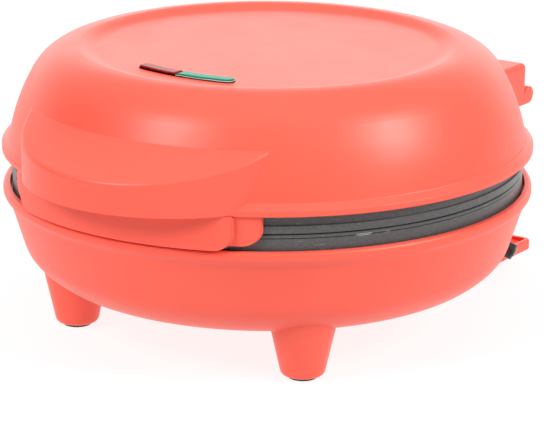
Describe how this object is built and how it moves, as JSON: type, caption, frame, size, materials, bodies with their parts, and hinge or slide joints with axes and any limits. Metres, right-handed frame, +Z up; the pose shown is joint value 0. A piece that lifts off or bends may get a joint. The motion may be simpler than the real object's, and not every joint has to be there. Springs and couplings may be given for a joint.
{
  "type": "bubble waffle maker",
  "caption": "Round countertop bubble waffle maker with a hinged domed lid, front handle lip, well plates and raised legs.",
  "frame": {"origin": "on the table under the middle of the whole outline, 0.6 mm behind the body's upright axis", "axes": "+Z up, -Y towards the handle, +Y towards the hinge, +X to the right as seen from the handle"},
  "size_m": [0.2068, 0.2362, 0.1101],
  "materials": {
    "coral_plastic": "satin moulded",
    "black_rubber": "matt",
    "black_sheath": "semi-matt",
    "brown_core": "semi-gloss",
    "blue_core": "semi-gloss",
    "green_yellow_core": "semi-gloss",
    "steel": "zinc plated",
    "spring_steel": "rolled",
    "element_sheath": "oxidised",
    "bright_sheet": "rolled sheet",
    "non_stick_coating": "non-stick coated casting",
    "switch_plastic": "moulded",
    "white_nylon": "moulded",
    "lead_sleeve": "woven glass sleeve",
    "fuse_metal": "plain",
    "red_lens": "clear gloss",
    "green_lens": "clear gloss",
    "lamp_glass": "clear"
  },
  "bodies": {
    "base": {"base_shell": "coral_plastic", "foot_pads": "black_rubber", "cord_gland": "black_rubber", "cord_stub": "black_sheath", "live_core": "brown_core", "neutral_core": "blue_core", "earth_core": "green_yellow_core", "base_screws": "steel", "lower_clip_screws": "steel", "thermostat_screws": "steel", "hinge_pin": "steel", "lower_element_clips": "spring_steel", "lower_heating_element": "element_sheath", "lower_reflector": "bright_sheet", "lower_plate": "non_stick_coating", "thermostat": "switch_plastic", "terminal_block": "white_nylon", "base_leads": "lead_sleeve"},
    "lid": {"lid_shell": "coral_plastic", "handle_cover": "coral_plastic", "cover_screws": "steel", "upper_plate": "non_stick_coating", "lid_screws": "steel", "upper_heating_element": "element_sheath", "upper_element_clips": "spring_steel", "upper_clip_screws": "steel", "upper_reflector": "bright_sheet", "upper_reflector_screws": "steel", "red_lens": "red_lens", "green_lens": "green_lens", "lamp_holder": "white_nylon", "red_lamp": "lamp_glass", "green_lamp": "lamp_glass", "lid_leads": "lead_sleeve", "thermal_fuse": "fuse_metal", "fuse_clamp": "spring_steel"}
  },
  "joints": [
    {"name": "lid_hinge", "type": "hinge", "parent": "base", "child": "lid", "pos_m": [0, 0.1146, 0.0732], "axis": [-1, 0, 0], "range_deg": [0, 100]}
  ]
}
